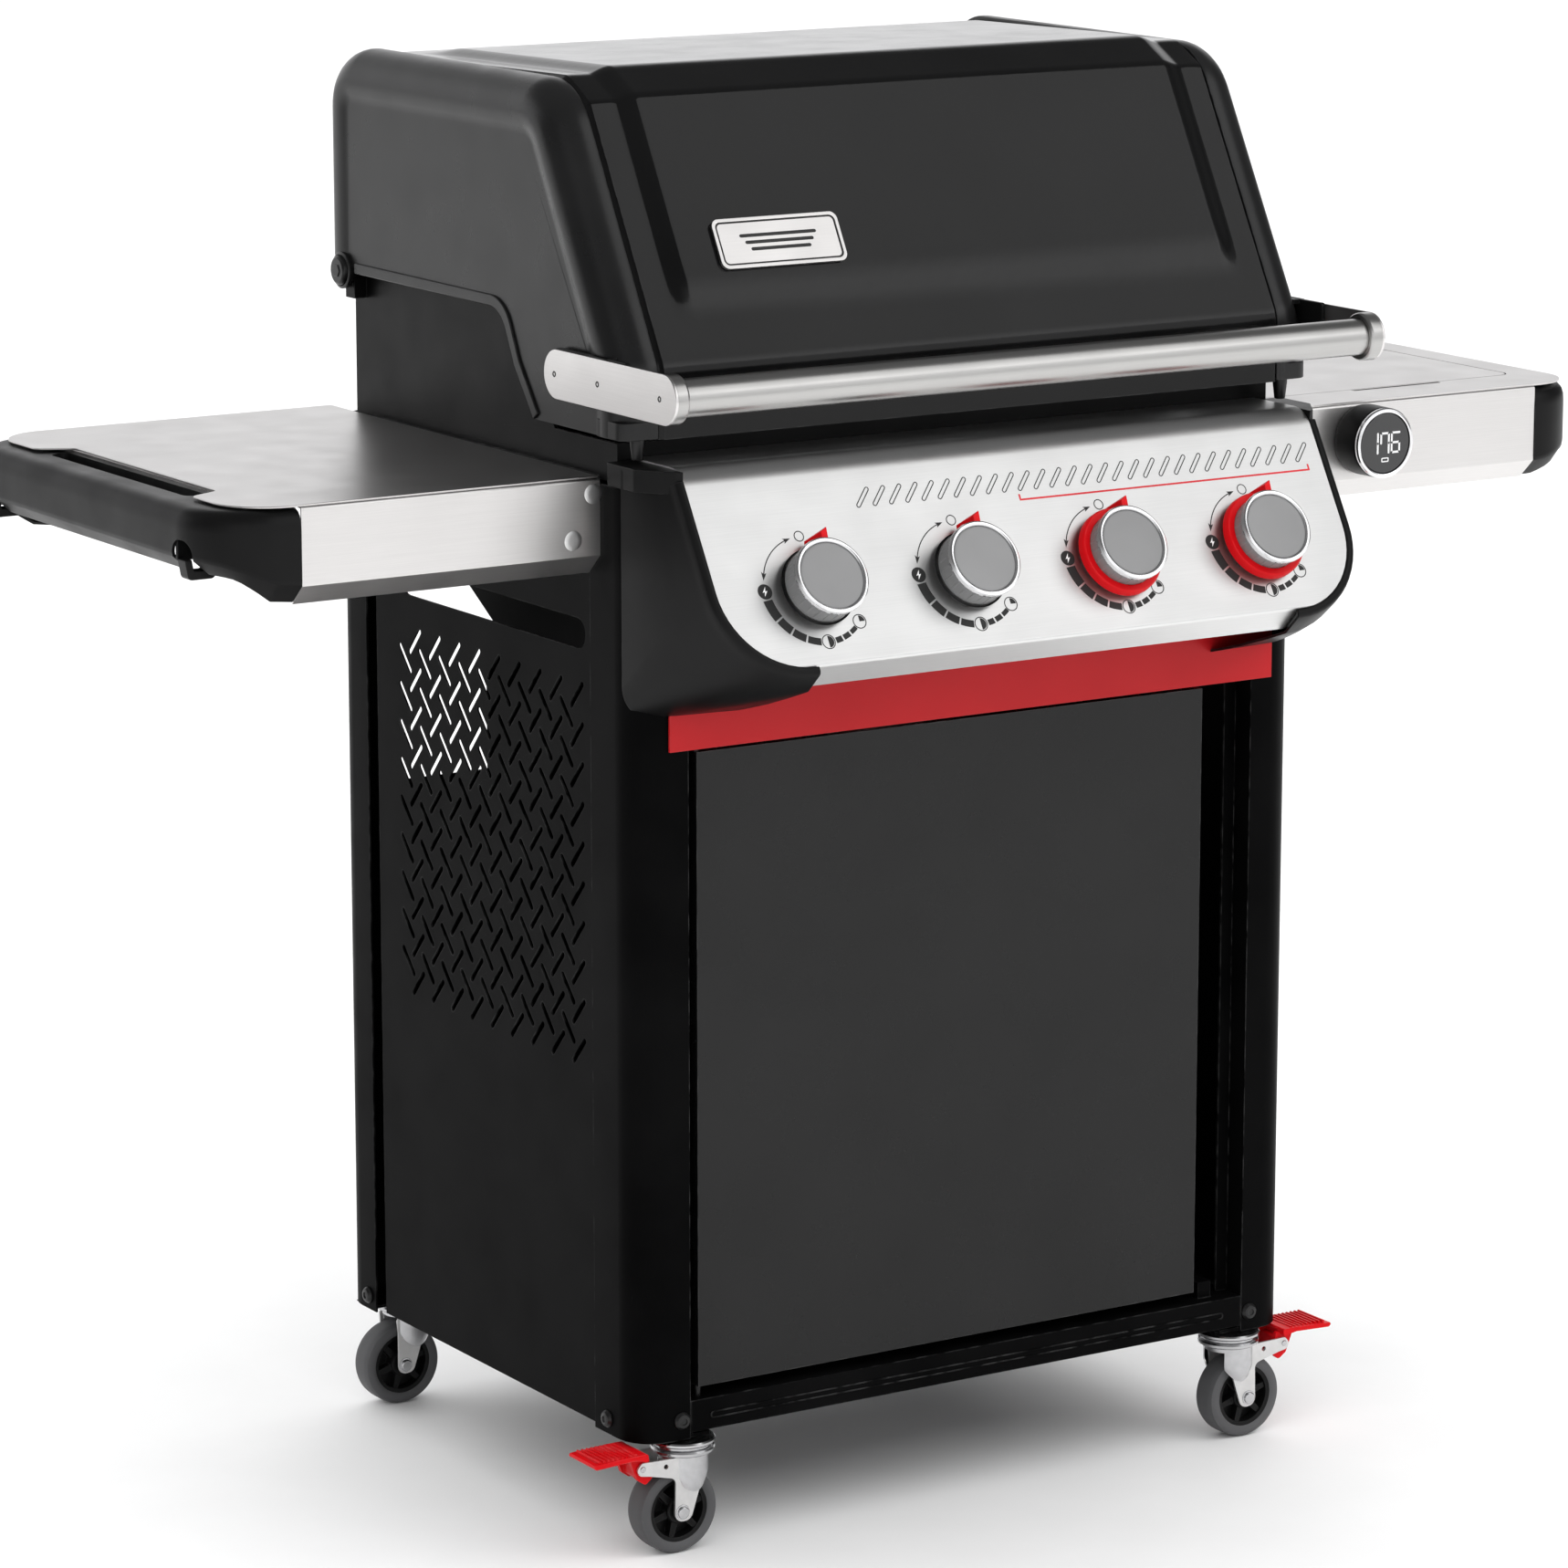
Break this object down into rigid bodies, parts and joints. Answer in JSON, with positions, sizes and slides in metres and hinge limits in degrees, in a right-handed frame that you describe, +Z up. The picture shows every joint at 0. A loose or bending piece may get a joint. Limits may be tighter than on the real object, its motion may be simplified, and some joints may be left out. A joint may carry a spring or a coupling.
{
  "type": "gas barbecue grill",
  "caption": "Gas grill on a caster cart: hinged lid with bar handle, control knobs, two side tables, cabinet with a door.",
  "frame": {"origin": "centre of the footprint, on the ground", "axes": "+X to the right as the cook sees it, +Y to the back of the grill, +Z up"},
  "size_m": [1.384, 0.6604, 1.2308],
  "materials": {
    "cart_paint": "satin powder coat, near black",
    "door_paint": "satin powder coat, dark grey",
    "enamel": "glossy porcelain enamel, black",
    "cast_coating": "satin black coating on cast aluminium",
    "black_plastic": "fine grained moulded plastic, black",
    "stainless": "brushed stainless steel",
    "red_paint": "satin red powder coat",
    "red_plastic": "red moulded plastic",
    "cast_iron": "enamelled cast iron, dark",
    "burner_steel": "plain stainless steel",
    "aluminium": "plain pressed aluminium",
    "brass": "machined brass",
    "zinc": "bright zinc and chrome plating",
    "knob": "grey moulded plastic with a metallic ring",
    "tyre": "dark grey caster tread",
    "display": "black display window"
  },
  "bodies": {
    "cart": {"gas_manifold": "brass", "side_panel_left": "cart_paint", "leg_front_left": "cart_paint", "leg_rear_left": "cart_paint", "grate_left": "cast_iron", "panel_cap_left": "black_plastic", "side_panel_right": "cart_paint", "leg_front_right": "cart_paint", "leg_rear_right": "cart_paint", "grate_right": "cast_iron", "panel_cap_right": "black_plastic", "bottom_rail": "cart_paint", "bottom_shelf": "cart_paint", "rear_panel": "cart_paint", "rear_crossbar": "cart_paint", "red_rail": "red_paint", "firebox": "cast_coating", "heat_bars": "burner_steel", "warming_rack": "zinc", "control_panel": "stainless", "side_table_left": "stainless", "table_cap_left": "black_plastic", "side_table_right": "stainless", "table_cap_right": "black_plastic", "display_housing": "black_plastic", "burner_1": "burner_steel", "burner_2": "burner_steel", "burner_3": "burner_steel", "burner_4": "burner_steel"},
    "lid": {"lid_shell": "enamel", "lid_casting_left": "cast_coating", "lid_casting_right": "cast_coating", "lid_handle": "stainless", "handle_bracket_left": "stainless", "handle_bracket_right": "stainless", "lid_hinge_pin_left": "cast_coating", "lid_hinge_pin_right": "cast_coating"},
    "door": {"door": "door_paint"},
    "tray": {"grease_tray": "aluminium", "drip_pan": "aluminium"},
    "cover": {"table_cover": "stainless"},
    "button": {"display_button": "display"},
    "stem_1": {"valve_stem_1": "brass"},
    "knob_1": {"knob_1": "knob"},
    "stem_2": {"valve_stem_2": "brass"},
    "knob_2": {"knob_2": "knob"},
    "stem_3": {"valve_stem_3": "brass"},
    "knob_3": {"knob_3": "knob"},
    "stem_4": {"valve_stem_4": "brass"},
    "knob_4": {"knob_4": "knob"},
    "caster_front_left": {"caster_fork_front_left": "zinc"},
    "wheel_front_left": {"caster_wheel_front_left": "tyre"},
    "pedal_front_left": {"brake_pedal_front_left": "red_plastic"},
    "caster_rear_left": {"caster_fork_rear_left": "zinc"},
    "wheel_rear_left": {"caster_wheel_rear_left": "tyre"},
    "caster_front_right": {"caster_fork_front_right": "zinc"},
    "wheel_front_right": {"caster_wheel_front_right": "tyre"},
    "pedal_front_right": {"brake_pedal_front_right": "red_plastic"},
    "caster_rear_right": {"caster_fork_rear_right": "zinc"},
    "wheel_rear_right": {"caster_wheel_rear_right": "tyre"}
  },
  "joints": [
    {"name": "lid_hinge", "type": "hinge", "parent": "cart", "child": "lid", "pos_m": [0, 0.28215, 1.034], "axis": [-1, 0, 0], "range_deg": [0, 75]},
    {"name": "door_hinge", "type": "hinge", "parent": "cart", "child": "door", "pos_m": [-0.272, -0.18485, 0.4], "axis": [0, 0, -1], "range_deg": [0, 100]},
    {"name": "tray_slide", "type": "slide", "parent": "cart", "child": "tray", "axis": [0, 1, 0], "range_m": [0, 0.25]},
    {"name": "cover_hinge", "type": "hinge", "parent": "cart", "child": "cover", "pos_m": [0.512, 0.28155, 0.912], "axis": [-1, 0, 0], "range_deg": [0, 90]},
    {"name": "button_push", "type": "slide", "parent": "cart", "child": "button", "axis": [0, 1, 0], "range_m": [0, 0.0015], "stiffness_N_per_m": 800, "springref_m": -0.001},
    {"name": "knob_push_1", "type": "slide", "parent": "cart", "child": "stem_1", "axis": [0, 0.859, -0.512], "range_m": [0, 0.005], "stiffness_N_per_m": 1500, "springref_m": -0.003},
    {"name": "knob_turn_1", "type": "hinge", "parent": "stem_1", "child": "knob_1", "pos_m": [-0.22095, -0.28638, 0.82852], "axis": [0, -0.859, 0.512], "range_deg": [0, 225]},
    {"name": "knob_push_2", "type": "slide", "parent": "cart", "child": "stem_2", "axis": [0, 0.859, -0.512], "range_m": [0, 0.005], "stiffness_N_per_m": 1500, "springref_m": -0.003},
    {"name": "knob_turn_2", "type": "hinge", "parent": "stem_2", "child": "knob_2", "pos_m": [-0.07365, -0.28638, 0.82852], "axis": [0, -0.859, 0.512], "range_deg": [0, 225]},
    {"name": "knob_push_3", "type": "slide", "parent": "cart", "child": "stem_3", "axis": [0, 0.859, -0.512], "range_m": [0, 0.005], "stiffness_N_per_m": 1500, "springref_m": -0.003},
    {"name": "knob_turn_3", "type": "hinge", "parent": "stem_3", "child": "knob_3", "pos_m": [0.07365, -0.28638, 0.82852], "axis": [0, -0.859, 0.512], "range_deg": [0, 225]},
    {"name": "knob_push_4", "type": "slide", "parent": "cart", "child": "stem_4", "axis": [0, 0.859, -0.512], "range_m": [0, 0.005], "stiffness_N_per_m": 1500, "springref_m": -0.003},
    {"name": "knob_turn_4", "type": "hinge", "parent": "stem_4", "child": "knob_4", "pos_m": [0.22095, -0.28638, 0.82852], "axis": [0, -0.859, 0.512], "range_deg": [0, 225]},
    {"name": "swivel_front_left", "type": "hinge", "parent": "cart", "child": "caster_front_left", "pos_m": [-0.283, -0.17885, 0.09], "axis": [0, 0, 1], "continuous": true},
    {"name": "roll_front_left", "type": "hinge", "parent": "caster_front_left", "child": "wheel_front_left", "pos_m": [-0.2935, -0.17885, 0.0375], "axis": [0, 1, 0], "continuous": true},
    {"name": "brake_front_left", "type": "hinge", "parent": "caster_front_left", "child": "pedal_front_left", "pos_m": [-0.332, -0.17885, 0.0815], "axis": [0, -1, 0], "range_deg": [0, 15]},
    {"name": "swivel_rear_left", "type": "hinge", "parent": "cart", "child": "caster_rear_left", "pos_m": [-0.283, 0.30315, 0.09], "axis": [0, 0, 1], "continuous": true},
    {"name": "roll_rear_left", "type": "hinge", "parent": "caster_rear_left", "child": "wheel_rear_left", "pos_m": [-0.2935, 0.30315, 0.0375], "axis": [0, 1, 0], "continuous": true},
    {"name": "swivel_front_right", "type": "hinge", "parent": "cart", "child": "caster_front_right", "pos_m": [0.283, -0.17885, 0.09], "axis": [0, 0, 1], "continuous": true},
    {"name": "roll_front_right", "type": "hinge", "parent": "caster_front_right", "child": "wheel_front_right", "pos_m": [0.2935, -0.17885, 0.0375], "axis": [0, 1, 0], "continuous": true},
    {"name": "brake_front_right", "type": "hinge", "parent": "caster_front_right", "child": "pedal_front_right", "pos_m": [0.332, -0.17885, 0.0815], "axis": [0, 1, 0], "range_deg": [0, 15]},
    {"name": "swivel_rear_right", "type": "hinge", "parent": "cart", "child": "caster_rear_right", "pos_m": [0.283, 0.30315, 0.09], "axis": [0, 0, 1], "continuous": true},
    {"name": "roll_rear_right", "type": "hinge", "parent": "caster_rear_right", "child": "wheel_rear_right", "pos_m": [0.2935, 0.30315, 0.0375], "axis": [0, 1, 0], "continuous": true}
  ]
}
